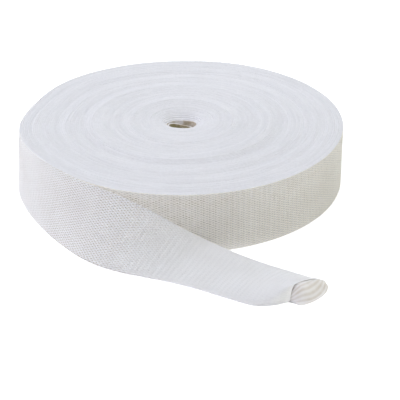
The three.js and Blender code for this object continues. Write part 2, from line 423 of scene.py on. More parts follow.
@dataclass(frozen=True)
class WoundEdge(Finish):
    """The folds of the wound tape seen edge on: cotton jersey bent sharply, its stitches as bumps.

    The crown of each fold is bleached white. Down the walls that show, the attribute shade brings
    in painted shade: a warm tone in the gaps between the yarns of the outermost turn, and a dark
    one in the dim hole.
    """

    name: str = "wound_cotton_jersey"
    crown: str = "#e3e4ea"
    hollow: str = "#d4d5db"
    # painted shade in the gaps of the outermost turn's knit
    wall: str = "#b5aa9c"
    # painted shade deep in the hole
    hole: str = "#857e5e"
    stitch_mm: float = 1.3  # a stitch folded over is about a wale wide
    patch_mm: float = 4.0
    mottling: float = 0.4  # against the slower changes of tone from turn to turn
    closed_above: float = 29.9  # at its folds the knit is drawn together and no painted shade shows
    open_below: float = 26.5
    foot: tuple[float, float] = (1.0, 9.0)  # near the ground the wall's painted shade is weaker again
    foot_shade: float = 0.35
    sunk: tuple[float, float] = (27.5, 25.5)  # folds sunk so low, in the hole, take painted shade as half wall
    relief_mm: float = 0.2

    def surface(self, tree: bpy.types.NodeTree) -> dict[str, Any]:
        """Adds the crowns' mottling and the tones of wall and hole.

        Args:
            tree: The material's tree.

        Returns:
            The shader's inputs.
        """
        place = add_node(tree, "ShaderNodeTexCoord").outputs["Object"]
        height = add_node(tree, SEPARATE, {0: place}).outputs["Z"]
        marks = (
            add_node(tree, "ShaderNodeAttribute", attribute_name=name).outputs["Fac"]
            for name in ("depth", "tone", "shade")
        )
        depth, tone, shown = marks

        fuzz = add_node(tree, NOISE, {"Vector": place, "Scale": 1.0 / (self.stitch_mm * MM), "Detail": 3.0})
        mottle = add_node(tree, MAP_RANGE, {"Value": fuzz, "From Min": 0.3, "From Max": 0.7})
        toned = add_node(tree, MATH, {0: tone, 1: 1 - self.mottling}, operation="MULTIPLY")
        blend = add_node(tree, MATH, {0: mottle, 1: self.mottling, 2: toned}, operation="MULTIPLY_ADD")
        folds = {"Factor": blend, MIX_A: linear(self.crown), MIX_B: linear(self.hollow)}
        crown = add_node(tree, MIX, folds, data_type="RGBA").outputs[MIXED]

        patch = add_node(tree, NOISE, {"Vector": place, "Scale": 1.0 / (self.patch_mm * MM), "Detail": 3.0})
        patches = {"Value": patch, "From Min": 0.35, "From Max": 0.65, "To Min": 0.3, "To Max": 1.3}
        patchy = add_node(tree, MAP_RANGE, patches)
        # Painted shade: the attribute shade, made patchy.
        shade = add_node(tree, MATH, {0: shown, 1: patchy}, operation="MULTIPLY")

        # Painted shade in the hole: crowns sunk low count as half wall.
        start, end = (z * MM for z in self.sunk)
        low = {"Value": height, "From Min": start, "From Max": end, "To Max": 0.5}
        sunk = add_node(tree, MAP_RANGE, low)
        turned = add_node(tree, MATH, {0: depth, 1: sunk}, operation="MAXIMUM")
        top = {"Value": height, "From Min": self.closed_above * MM, "From Max": self.open_below * MM}
        below = add_node(tree, MAP_RANGE, top)
        start, end = (z * MM for z in self.foot)
        near_ground = {"Value": height, "From Min": start, "From Max": end, "To Min": self.foot_shade}
        above = add_node(tree, MAP_RANGE, near_ground)
        open_knit = add_node(tree, MATH, {0: below, 1: above}, operation="MULTIPLY")
        flat = add_node(tree, MATH, {0: turned, 1: open_knit}, operation="MULTIPLY")
        shaded = add_node(tree, MATH, {0: shade, 1: flat}, operation="MULTIPLY")

        # Mix in the painted shade: the wall's warm tone, then the hole's dark one.
        on_wall = add_node(tree, MAP_RANGE, {"Value": shaded, "From Max": 0.5})
        in_hole = add_node(tree, MAP_RANGE, {"Value": shaded, "From Min": 0.5, "From Max": 1.0})
        colour = crown
        for factor, painted_shade_colour in ((on_wall, self.wall), (in_hole, self.hole)):
            colours = {"Factor": factor, MIX_A: colour, MIX_B: linear(painted_shade_colour)}
            colour = add_node(tree, MIX, colours, data_type="RGBA").outputs[MIXED]
        relief = {"Strength": 0.5, "Distance": self.relief_mm * MM, "Height": fuzz}
        return SCATTERING | {
            "Base Color": colour,
            "Roughness": 0.9,
            "Specular IOR Level": 0.2,
            "Sheen Weight": 0.2,
            "Normal": add_node(tree, "ShaderNodeBump", relief),
        }


@dataclass(frozen=True)
class WhitePaper(Finish):
    """Uncoated white paper: matte, with a soft glow that makes it as white as the photograph's."""

    name: str = "white_paper"
    colour: str = "#f7f7f8"
    glow: float = 0.42
    grain_mm: float = 0.5
    relief_mm: float = 0.02

    def surface(self, tree: bpy.types.NodeTree) -> dict[str, Any]:
        """Adds the paper's grain.

        Args:
            tree: The material's tree.

        Returns:
            The shader's inputs.
        """
        place = add_node(tree, "ShaderNodeTexCoord").outputs["Object"]
        grain = add_node(tree, NOISE, {"Vector": place, "Scale": 1.0 / (self.grain_mm * MM)})
        relief = {"Strength": 0.05, "Distance": self.relief_mm * MM, "Height": grain}
        return {
            "Base Color": linear(self.colour),
            "Roughness": 0.9,
            "Emission Color": linear("#ffffff"),
            "Emission Strength": self.glow,
            "Normal": add_node(tree, "ShaderNodeBump", relief),
        }


class GeometryRecipe:
    """A Geometry Nodes tree with named inputs that is run once on a mesh."""

    def __init__(self, name: str, inputs: dict[str, str]) -> None:
        """Starts the tree.

        Args:
            name: The tree's name.
            inputs: The kind of each named input: Float, Int or Material.
        """
        self.tree = bpy.data.node_groups.new(name, "GeometryNodeTree")
        self.sockets: dict[str, str] = {}
        interface = self.tree.interface
        interface.new_socket("Geometry", in_out="INPUT", socket_type="NodeSocketGeometry")
        interface.new_socket("Geometry", in_out="OUTPUT", socket_type="NodeSocketGeometry")
        for key, kind in inputs.items():
            socket = interface.new_socket(key, in_out="INPUT", socket_type="NodeSocket" + kind)
            self.sockets[key] = socket.identifier
        self.given = self.tree.nodes.new("NodeGroupInput").outputs

    def end(self, geometry: bpy.types.Node, finish: str) -> None:
        """Ends the tree: makes the geometry smooth and real, and dresses it.

        Args:
            geometry: The node that gives the geometry.
            finish: The name of the input that gives its finish.
        """
        smooth = add_node(self.tree, "GeometryNodeSetShadeSmooth", {"Geometry": geometry})
        real = add_node(self.tree, "GeometryNodeRealizeInstances", {"Geometry": smooth})
        dressed = {"Geometry": real, "Material": self.given[finish]}
        painted = add_node(self.tree, "GeometryNodeSetMaterial", dressed)
        add_node(self.tree, "NodeGroupOutput", {0: painted})

    def run(self, carrier: bpy.types.Object, values: dict[str, Any], name: str) -> bpy.types.Object:
        """Runs the tree on an object and keeps the result as a plain mesh.

        Args:
            carrier: The object whose mesh goes in. It is removed.
            values: A value for each named input.
            name: The new object's name.

        Returns:
            The new object, with no modifier.
        """
        modifier = carrier.modifiers.new("recipe", "NODES")
        modifier.node_group = self.tree
        for key, value in values.items():
            modifier[self.sockets[key]] = value
        graph = bpy.context.evaluated_depsgraph_get()
        mesh = bpy.data.meshes.new_from_object(carrier.evaluated_get(graph))
        mesh.name = name
        bpy.data.objects.remove(carrier)
        return add_object(name, mesh)


class KnitRecipe(GeometryRecipe):
    """Knits yarn onto a surface: each course is one yarn, looped across the tape."""

    STRAY_SCALE = 0.24  # stitches stray together over about 4 mm
    STRAY_REACH = 4.0  # the noise stays near its middle, so it is taken this many times
    EDGE = 1e-4  # how near to the surface's edge a stitch may lie, as a share of its size

    def __init__(self, jersey: Jersey, cut: Cut) -> None:
        """Builds the tree.

        Args:
            jersey: The stitch.
            cut: Whether the knit closes on itself across the tape.
        """
        loop = ("Wale", "Course", "Start", "Loop height", "Loop lean", "Loop depth", "Loop rise")
        yarn = ("Yarn width", "Yarn thickness", "Unevenness", "Length", "Width")
        counts = ("Wales", "Courses", "Seed")
        kinds = dict.fromkeys(loop + yarn, "Float") | dict.fromkeys(counts, "Int")
        super().__init__("knit_" + cut.name.lower(), kinds | {"Yarn": "Material"})
        self.jersey = jersey
        cloth = self._all_courses(self._one_course())
        self.end(self._lay_on_surface(cloth, cut), "Yarn")

    def _one_course(self) -> bpy.types.Node:
        """Loops one yarn across the tape and gives it its thickness.

        Returns:
            The node that gives the yarn, flat, with its loops in x and y and their depth in z.
        """
        tree, given, steps = self.tree, self.given, float(self.jersey.steps)
        points = add_node(tree, MATH, {0: given["Wales"], 1: steps, 2: 1.0}, operation="MULTIPLY_ADD")
        line = add_node(tree, "GeometryNodeMeshLine", {"Count": points})
        thread = add_node(tree, "GeometryNodeMeshToCurve", {"Mesh": line})
        index = add_node(tree, "GeometryNodeInputIndex")
        wale = add_node(tree, MATH, {0: index, 1: steps}, operation="DIVIDE")
        phase = add_node(tree, MATH, {0: wale, 1: 2 * math.pi}, operation="MULTIPLY")
        twice = add_node(tree, MATH, {0: wale, 1: 4 * math.pi}, operation="MULTIPLY")
        leaning = add_node(tree, MATH, {0: twice}, operation="SINE")
        lean = add_node(tree, MATH, {0: leaning, 1: given["Loop lean"]}, operation="MULTIPLY")
        across = add_node(tree, MATH, {0: wale, 1: given["Wale"], 2: lean}, operation="MULTIPLY_ADD")
        up_and_down = add_node(tree, MATH, {0: phase}, operation="COSINE")
        half = add_node(tree, MATH, {0: given["Loop height"], 1: -0.5}, operation="MULTIPLY")
        along = add_node(tree, MATH, {0: up_and_down, 1: half}, operation="MULTIPLY")
        in_and_out = add_node(tree, MATH, {0: twice}, operation="COSINE")
        behind = add_node(tree, MATH, {0: given["Loop depth"], 1: -1.0}, operation="MULTIPLY")
        weave = {0: in_and_out, 1: behind, 2: given["Loop rise"]}
        depth = add_node(tree, MATH, weave, operation="MULTIPLY_ADD")
        place = add_node(tree, COMBINE, {0: across, 1: along, 2: depth})
        looped = add_node(tree, SET_POSITION, {"Geometry": thread, "Position": place})
        level = add_node(tree, "GeometryNodeSetCurveNormal", {"Curve": looped}, mode="Z_UP")
        run = add_node(tree, "GeometryNodeSplineParameter").outputs["Length"]
        marked = add_node(tree, STORE, {"Geometry": level, "Name": "run", "Value": run}, **ON_POINTS)

        sides = {"Resolution": self.jersey.sides, "Radius": 0.5}
        ring = add_node(tree, "GeometryNodeCurvePrimitiveCircle", sides)
        size = add_node(tree, COMBINE, {0: given["Yarn width"], 1: given["Yarn thickness"], 2: 1.0})
        oval = add_node(tree, "GeometryNodeTransform", {"Geometry": ring, "Scale": size})
        girth = add_node(tree, "GeometryNodeSplineParameter").outputs["Factor"]
        girded = add_node(tree, STORE, {"Geometry": oval, "Name": "girth", "Value": girth}, **ON_POINTS)
        sweep = {"Curve": marked, "Profile Curve": girded, "Fill Caps": True}
        return add_node(tree, "GeometryNodeCurveToMesh", sweep)

    def _all_courses(self, course: bpy.types.Node) -> bpy.types.Node:
        """Sets the courses one above the other along the tape, a little unevenly.

        Args:
            course: The node that gives one course of yarn.

        Returns:
            The node that gives the flat knit.
        """
        tree, given = self.tree, self.given
        start = add_node(tree, COMBINE, {1: given["Start"]})
        pitch = add_node(tree, COMBINE, {1: given["Course"]})
        line = {"Count": given["Courses"], "Start Location": start, "Offset": pitch}
        rows = add_node(tree, "GeometryNodeMeshLine", line)
        copies = add_node(tree, "GeometryNodeInstanceOnPoints", {"Points": rows, "Instance": course})
        real = add_node(tree, "GeometryNodeRealizeInstances", {"Geometry": copies})
        place = add_node(tree, "GeometryNodeInputPosition")
        noise = {"Vector": place, "W": given["Seed"], "Scale": self.STRAY_SCALE, "Detail": 1.0}
        stray = add_node(tree, NOISE, noise, noise_dimensions="4D").outputs["Color"]
        centred = add_node(tree, VECTOR_MATH, {0: stray, 1: (0.5, 0.5, 0.5)}, operation="SUBTRACT")
        reach = add_node(tree, MATH, {0: given["Unevenness"], 1: self.STRAY_REACH}, operation="MULTIPLY")
        flat = add_node(tree, COMBINE, {0: reach, 1: reach, 2: 0.0})
        offset = add_node(tree, VECTOR_MATH, {0: centred, 1: flat}, operation="MULTIPLY")
        return add_node(tree, SET_POSITION, {"Geometry": real, "Offset": offset})

    def _lay_on_surface(self, cloth: bpy.types.Node, cut: Cut) -> bpy.types.Node:
        """Lays the flat knit on the surface that comes in, by its TapeUV map.

        Args:
            cloth: The node that gives the flat knit.
            cut: Whether the knit closes on itself across the tape.

        Returns:
            The node that gives the knit in place.
        """
        tree, given = self.tree, self.given
        inside = {"Min": self.EDGE, "Max": 1 - self.EDGE}
        place = add_node(tree, "GeometryNodeInputPosition")
        split = add_node(tree, SEPARATE, {0: place}).outputs
        far = add_node(tree, MATH, {0: split["Y"], 1: given["Length"]}, operation="DIVIDE")
        along = add_node(tree, "ShaderNodeClamp", {"Value": far} | inside)
        wide = add_node(tree, MATH, {0: split["X"], 1: given["Width"]}, operation="DIVIDE")
        if cut is Cut.TUBE:
            onward = add_node(tree, MATH, {0: wide, 1: 1.0}, operation="ADD")
            across = add_node(tree, MATH, {0: onward}, operation="FRACT")
        else:
            across = add_node(tree, "ShaderNodeClamp", {"Value": wide} | inside)
        where = add_node(tree, COMBINE, {0: along, 1: across})
        chart = add_node(tree, NAMED, {"Name": TAPE_UV}, data_type="FLOAT_VECTOR")
        outward = add_node(tree, NAMED, {"Name": "outward"}, data_type="FLOAT_VECTOR")
        found = []
        for value in (place, outward):
            looked_up = {0: given["Geometry"], 1: value, 2: chart, 3: where}
            found.append(add_node(tree, "GeometryNodeSampleUVSurface", looked_up, data_type="FLOAT_VECTOR"))
        spot, direction = found
        lift = add_node(tree, MATH, {0: split["Z"], 1: MM}, operation="MULTIPLY")
        raised = add_node(tree, VECTOR_MATH, {0: direction, "Scale": lift}, operation="SCALE")
        point = add_node(tree, VECTOR_MATH, {0: spot, 1: raised}, operation="ADD")
        run = add_node(tree, NAMED, {"Name": "run"}, data_type="FLOAT")
        girth = add_node(tree, NAMED, {"Name": "girth"}, data_type="FLOAT")
        pair = add_node(tree, COMBINE, {0: run, 1: girth})
        yarn_map = {"Geometry": cloth, "Name": YARN_UV, "Value": pair}
        charted = add_node(tree, STORE, yarn_map, data_type="FLOAT2", domain="CORNER")
        return add_node(tree, SET_POSITION, {"Geometry": charted, "Position": point})

    def knit(
        self,
        surface: bpy.types.Object,
        length: float,
        width: float,
        yarn: bpy.types.Material,
        names: tuple[str, str],
    ) -> list[bpy.types.Object]:
        """Knits a piece onto a surface, in two stretches.

        Args:
            surface: The surface, with its TapeUV map and outward directions. It is removed.
            length: Its length along the tape.
            width: Its width across it, round the whole tube if the knit is closed.
            yarn: The yarn's finish.
            names: The names of the stretches.

        Returns:
            The knit.
        """
        jersey = self.jersey
        wales = round(width / jersey.wale)
        courses = round(length / jersey.course) - 1
        course = length / (courses + 1)
        first = courses // 2
        values = {
            "Wale": width / wales,
            "Course": course,
            "Loop height": jersey.loop_height,
            "Loop lean": jersey.loop_lean,
            "Loop depth": jersey.loop_depth,
            "Loop rise": jersey.loop_rise,
            "Yarn width": jersey.yarn_width,
            "Yarn thickness": jersey.yarn_thickness,
            "Unevenness": jersey.unevenness,
            "Length": length,
            "Width": width,
            "Wales": wales,
            "Seed": jersey.seed,
            "Yarn": yarn,
        }
        pieces = []
        for name, before, count in ((names[0], 0, first), (names[1], first, courses - first)):
            carrier = add_object(name, surface.data.copy())
            stretch = {"Start": course * (before + 1), "Courses": count}
            pieces.append(self.run(carrier, values | stretch, name))
        bpy.data.objects.remove(surface)
        return pieces


class WindRecipe(GeometryRecipe):
    """Winds the flat tape along a path, as a section with round folds at its top and bottom."""

    SIDES = 8  # of the ring that is drawn out to the tape's section

    def __init__(self) -> None:
        """Builds the tree."""
        sizes = ("Thickness", "Tape width", "Fold height")
        super().__init__("wind_tape", dict.fromkeys(sizes, "Float") | {"Cloth": "Material"})
        tree, given = self.tree, self.given
        path = add_node(tree, "GeometryNodeMeshToCurve", {"Mesh": given["Geometry"]})
        level = add_node(tree, "GeometryNodeSetCurveNormal", {"Curve": path}, mode="Z_UP")
        sweep = {"Curve": level, "Profile Curve": self._section(), "Fill Caps": True}
        wound = add_node(tree, "GeometryNodeCurveToMesh", sweep)
        lift = add_node(tree, NAMED, {"Name": "lift"}, data_type="FLOAT")
        upper = add_node(tree, NAMED, {"Name": "upper"}, data_type="FLOAT")
        rise = add_node(tree, MATH, {0: lift, 1: upper}, operation="MULTIPLY")
        offset = add_node(tree, COMBINE, {2: rise})
        self.end(add_node(tree, SET_POSITION, {"Geometry": wound, "Offset": offset}), "Cloth")

    def _section(self) -> bpy.types.Node:
        """Draws a ring out to the flat tape's section.

        Returns:
            The node that gives the section. Its attribute upper is 1 on the upper fold, and depth
            is 0 on a fold's crown and 1 on the walls.
        """
        tree, given = self.tree, self.given
        sides = {"Resolution": self.SIDES, "Radius": 0.5}
        ring = add_node(tree, "GeometryNodeCurvePrimitiveCircle", sides)
        place = add_node(tree, "GeometryNodeInputPosition")
        y = add_node(tree, SEPARATE, {0: place}).outputs["Y"]
        upper = add_node(tree, MATH, {0: y, 1: 0.01}, operation="LESS_THAN")
        side = add_node(tree, MATH, {0: upper, 1: -2.0, 2: 1.0}, operation="MULTIPLY_ADD")
        half = add_node(tree, MATH, {0: given["Tape width"], 1: 0.5}, operation="MULTIPLY")
        reach = add_node(tree, MATH, {0: half, 1: given["Fold height"]}, operation="SUBTRACT")
        shift = add_node(tree, MATH, {0: side, 1: reach}, operation="MULTIPLY")
        rise = add_node(tree, MATH, {0: given["Fold height"], 1: 2.0}, operation="MULTIPLY")
        size = add_node(tree, COMBINE, {0: given["Thickness"], 1: rise})
        oval = add_node(tree, VECTOR_MATH, {0: place, 1: size}, operation="MULTIPLY")
        apart = add_node(tree, COMBINE, {1: shift})
        drawn_out = add_node(tree, VECTOR_MATH, {0: oval, 1: apart}, operation="ADD")
        height = add_node(tree, MATH, {0: y}, operation="ABSOLUTE")
        depth = add_node(tree, MATH, {0: height, 1: -2.0, 2: 1.0}, operation="MULTIPLY_ADD")
        marked = add_node(tree, STORE, {"Geometry": ring, "Name": "upper", "Value": upper}, **ON_POINTS)
        shaded = add_node(tree, STORE, {"Geometry": marked, "Name": "depth", "Value": depth}, **ON_POINTS)
        return add_node(tree, SET_POSITION, {"Geometry": shaded, "Position": drawn_out})


@dataclass
class FaceStep:
    """One place on the roll's upper face, from the hole outwards."""

    radius: float
    lift: float


@dataclass
class Swell:
    """Where the roll swells, or is pressed in, round its rim."""

    angle: float
    spread: float
    by: float


@dataclass
class WoundRoll:
    """The wound turns: one spiral of flat tape from the hole to the rim."""

    axis: Vector
    tape_width: float = 30.0
    narrower: float = 0.3  # the wound section is this much narrower than the tape's full width
    hole_radius: float = 6.525
    roll_radius: float = 78.6
    inner_angle: float = 192.0
    outer_angle: float = 158.0
    whole_turns: int = 75
    parting_radius: float = 46.0  # where the inner piece ends and the outer one begins
    step: float = 1.5  # a little over half a stitch
    fold_height: float = 0.11  # packed folds are flat, with shallow clefts between them
    pressed: float = 0.12  # how far neighbouring turns press into each other
    slack: float = 14.0  # the inner end stands free in the hole for so long
    slack_radius: float = 3.2
    slack_spread: float = 0.6  # its mean radius is larger by this
    slack_draws_in: float = 8.0  # over this length
    slack_flare: float = 1.6  # its last 3 mm stand off again
    flare_length: float = 3.0
    slack_sinks: float = 1.1
    hole_tilt: float = 1.1  # the hole's far side sinks deeper than its near one
    tilt_ends: tuple[float, float] = (7.0, 15.0)  # the radii over which that fades out
    face_wave: float = 0.12  # how far the folds wander up and down
    face_waves: int = 3  # round one turn
    wave_shift: float = 9.0  # the radius over which the waves move on by a radian
    slips: tuple[Wander, ...] = (Wander(0.05, 90.0, 3), Wander(0.03, 23.0, 4))
    bands: Wander = Wander(0.06, 3.1, 5)  # from turn to turn
    stitch_bump: float = 0.03
    stitch_wander: Wander = Wander(0.03, 2.3, 6)
    tone_by_turn: tuple[Wander, ...] = (Wander(0.16, 3.0, 11), Wander(0.16, 1.1, 12))
    tone_by_place: tuple[Wander, ...] = (Wander(0.25, 30.0, 13), Wander(0.3, 6.0, 14))
    # painted shade in the hole: on the free inner end and on the innermost turn
    slack_shade: float = 1.4
    hole_shade: float = 0.6
    wall_shade: float = 0.62  # painted shade in the wall's knit gaps: strongest at the left, where the loose end shades the wall, and it changes on the way round the front to the back
    wall_changes: tuple[Change, ...] = (Change(-0.39, 104.0, 140.0), Change(-0.13, 215.0, 300.0))
    wall_flatter: Change = Change(0.45, 105.0, 150.0)  # the yarn of the wall lies flatter there
    wall_columns: int = 361
    wall_fold: float = 35.0  # how far the wall's knit reaches over the folds
    face: tuple[FaceStep, ...] = (
        FaceStep(6.5, -2.2),
        FaceStep(8.2, -1.9),
        FaceStep(10, -0.8),
        FaceStep(12.5, -0.4),
        FaceStep(17, 0.2),
        FaceStep(25, 0.75),
        FaceStep(28, 0.4),
        FaceStep(36, 0.55),
        FaceStep(44, 0.7),
        FaceStep(48.5, -0.1),
        FaceStep(56, 0.1),
        FaceStep(59.5, -0.2),
        FaceStep(65, 0.05),
        FaceStep(68, -0.12),
        FaceStep(79, 0.0),
    )
    swells: tuple[Swell, ...] = (
        Swell(60, 25, 0.7),
        Swell(93, 16, -0.6),
        Swell(136, 12, 0.6),
        Swell(160, 12, -1.2),
        Swell(188, 12, 0.9),
        Swell(220, 16, -1.3),
    )
    swelling: tuple[float, float] = (35.0, 78.0)  # the radii over which the swells set in

    @property
    def turns(self) -> float:
        """How many turns there are from the inner end to the outer one."""
        return self.whole_turns + (self.outer_angle - self.inner_angle) / 360

    @property
    def pitch(self) -> float:
        """From one turn to the next, worked out so that the turns fill the roll."""
        return (self.roll_radius - self.hole_radius) / (self.turns + 1)

    @property
    def thickness(self) -> float:
        """The thickness of the wound tape before its neighbours press into it."""
        return self.pitch + self.pressed

    def wound_length(self, radius: float) -> float:
        """The length of the wound tape from its inner end to where its middle has this radius."""
        return math.pi * (radius**2 - (self.hole_radius + self.pitch / 2) ** 2) / self.pitch

    @property
    def length(self) -> float:
        """The length of the wound tape."""
        return self.wound_length(self.roll_radius - self.pitch / 2)

    def path(self, along: np.ndarray) -> tuple[np.ndarray, np.ndarray]:
        """The tape's middle line round the roll's axis.

        Args:
            along: Places along the wound tape, from its inner end.

        Returns:
            The angle, which counts on through the turns, and the radius at each place.
        """
        inner = self.hole_radius + self.pitch / 2
        even = np.sqrt(inner**2 + np.maximum(along, 0.0) * self.pitch / math.pi)
        angle = self.inner_angle + 360 * (even - inner) / self.pitch
        free = np.maximum(-along, 0.0)
        even = even - (inner - self.slack_radius) * ramp(free, 0.0, self.slack_draws_in)
        even = even + self.slack_flare * ramp(free, self.slack - self.flare_length, self.slack)
        angle = angle - np.degrees(free / (self.slack_radius + self.slack_spread))
        return angle, even + self.swell(angle) * ramp(even, *self.swelling)

    def swell(self, angle: np.ndarray) -> np.ndarray:
        """How far the roll's rim swells.

        Args:
            angle: The angles, which may count on through the turns.

        Returns:
            The swell at each angle.
        """
        swell = np.zeros_like(angle)
        for one in self.swells:
            off = (angle - one.angle + 180) % 360 - 180
            swell += one.by * np.exp(-((off / one.spread) ** 2))
        return swell

    def rim(self, angle: np.ndarray) -> np.ndarray:
        """The radius of the wound turns behind the loose end, at angles past where that starts."""
        return self.roll_radius - self.pitch * (1 - (angle - self.outer_angle) / 360) + self.swell(angle)

    def lift(self, along: np.ndarray, angle: np.ndarray, radius: np.ndarray) -> np.ndarray:
        """How far the tape's upper fold stands above an even face.

        Args:
            along: Places along the wound tape.
            angle: The angle there.
            radius: The radius there.

        Returns:
            The height at each place.
        """
        relief = np.interp(radius, [s.radius for s in self.face], [s.lift for s in self.face])
        wave = self.face_wave * np.sin(np.radians(self.face_waves * angle) + radius / self.wave_shift)
        uneven = total(self.slips, along) + self.bands.at(radius)
        stitch = self.stitch_bump * np.cos(math.pi * along / self.step) + self.stitch_wander.at(along)
        tilt = -self.hole_tilt * np.sin(np.radians(angle)) * (1 - ramp(radius, *self.tilt_ends))
        sunk = -self.slack_sinks * ramp(-along, 0.0, self.slack)
        return relief + wave + uneven + stitch + tilt + sunk

    def tone(self, along: np.ndarray, radius: np.ndarray) -> np.ndarray:
        """How much each place along the tape's fold is off white, from 0 to 1: it changes softly."""
        off_white = 0.5 + total(self.tone_by_turn, radius) + total(self.tone_by_place, along)
        return np.clip(off_white, 0.0, 1.0)

    def shade(self, along: np.ndarray, angle: np.ndarray) -> np.ndarray:
        """How much painted shade shows: on the outermost turn, the innermost one and the free end.

        Args:
            along: Places along the wound tape.
            angle: The angle there.

        Returns:
            The shade at each place.
        """
        last_turn = self.length - 2 * math.pi * self.roll_radius
        first_turn = 2 * math.pi * (self.hole_radius + self.pitch)
        wall = self.wall_shade + total(self.wall_changes, (angle - self.outer_angle) % 360)
        wound = np.where(along > last_turn, wall, np.where(along < first_turn, self.hole_shade, 0.0))
        return np.where(along < 0, self.slack_shade, wound)

    def build_turns(self, recipe: WindRecipe, finish: bpy.types.Material) -> list[bpy.types.Object]:
        """Winds the tape, in an inner and an outer piece.

        Args:
            recipe: The recipe that winds the tape along a path.
            finish: The finish of the wound tape.

        Returns:
            The two pieces.
        """
        parting = self.wound_length(self.parting_radius)
        stretches = {"inner_turns": (-self.slack, parting), "outer_turns": (parting, self.length)}
        values = {
            "Thickness": self.thickness * MM,
            "Tape width": (self.tape_width - self.narrower) * MM,
            "Fold height": self.fold_height * MM,
            "Cloth": finish,
        }
        pieces = []
        for name, (start, end) in stretches.items():
            count = round((end - start) / self.step) + 1
            along = np.linspace(start, end, count)
            angle, radius = self.path(along)
            turned = np.radians(angle)
            middle = np.full(count, self.tape_width / 2)
            points = np.column_stack([radius * np.cos(turned), radius * np.sin(turned), middle])
            mesh = bpy.data.meshes.new(name)
            line = [(i, i + 1) for i in range(count - 1)]
            mesh.from_pydata(in_frame(points, self.axis).tolist(), line, [])
            store_on_points(mesh, "lift", self.lift(along, angle, radius) * MM)
            store_on_points(mesh, "shade", self.shade(along, angle))
            store_on_points(mesh, "tone", self.tone(along, radius))
            pieces.append(recipe.run(add_object(name, mesh), values, name))
        return pieces

    def build_wall(self, recipe: KnitRecipe, yarn: bpy.types.Material) -> list[bpy.types.Object]:
        """Knits the outermost turn's outer ply, which is the wall that shows.

        Args:
            recipe: The recipe that knits a strip.
            yarn: The yarn's finish.

        Returns:
            The knit.
        """
        turn = 2 * math.pi * (self.roll_radius - self.pitch)
        along = np.linspace(self.length - turn, self.length, self.wall_columns)
        angle, radius = self.path(along)
        lift = self.lift(along, angle, radius)

        # One section, from the upper fold down over the flat wall to the lower fold.
        half = self.thickness / 2
        flat = self.tape_width - self.thickness
        fold = np.radians(np.linspace(self.wall_fold, 0, 3))
        tilt = np.concatenate([fold, np.zeros(3), -fold[::-1]])
        level = flat * np.array([1, 1, 1, 0.75, 0.5, 0.25, 0, 0, 0]) + half
        out = np.cos(tilt) * half
        up = np.sin(tilt) * half + level
        across = np.concatenate([[0.0], np.cumsum(np.hypot(np.diff(out), np.diff(up)))])
        width = float(across[-1])

        turned = np.radians(angle)[:, None]
        r = radius[:, None] + out
        raised = up + lift[:, None] * (up > flat / 2 + half)
        points = np.stack([r * np.cos(turned), r * np.sin(turned), raised], axis=-1)
        sideways = np.cos(tilt)
        upward = np.broadcast_to(np.sin(tilt), r.shape)
        outward = np.stack([sideways * np.cos(turned), sideways * np.sin(turned), upward], axis=-1)
        flatter = self.wall_flatter.at((angle - self.outer_angle) % 360)
        outward = outward * (1 - flatter)[:, None, None]
        share = (along - along[0]) / turn
        surface = grid_surface("wall_surface", points, outward, share, across[None, :] / width, self.axis)
        return recipe.knit(surface, turn, width, yarn, ("front_wall_knit", "back_wall_knit"))


def grid_surface(
    name: str,
    points: np.ndarray,
    outward: np.ndarray,
    along: np.ndarray,
    across: np.ndarray,
    axis: Vector,
) -> bpy.types.Object:
    """Makes a surface from a grid of points, for a knit to be laid on.

    Args:
        name: The object's name.
        points: Points round the roll's axis, the first index along the tape, the second across it.
        outward: The outward direction at each of them. A shorter one makes the knit lie flatter.
        along: How far along the tape each row lies, 0 to 1.
        across: How far across the tape each point lies, 0 to 1, in one row for all or in a row each.
        axis: Where the roll's axis meets the surface it lies on, in metres.

    Returns:
        The surface, with its TapeUV map and its outward directions.
    """
    rows, columns = points.shape[:2]
    corner = np.arange(rows * columns).reshape(rows, columns)
    corners = (corner[:-1, :-1], corner[1:, :-1], corner[1:, 1:], corner[:-1, 1:])
    faces = np.stack(corners, axis=-1).reshape(-1, 4)
    surface = mesh_object(name, in_frame(points, axis), faces)
    chart = np.stack(np.broadcast_arrays(along[:, None], across), axis=-1).reshape(-1, 2)
    store_uv(surface.data, TAPE_UV, chart[faces.reshape(-1)])
    store_on_points(surface.data, "outward", outward.reshape(-1, 3))
    return surface


@dataclass
class LooseRow:
    """One section of the loose end, given by its two folds round the roll's axis."""

    top_angle: float
    top_radius: float
    top_height: float
    foot_angle: float
    foot_radius: float
    sag: float
    gape: float


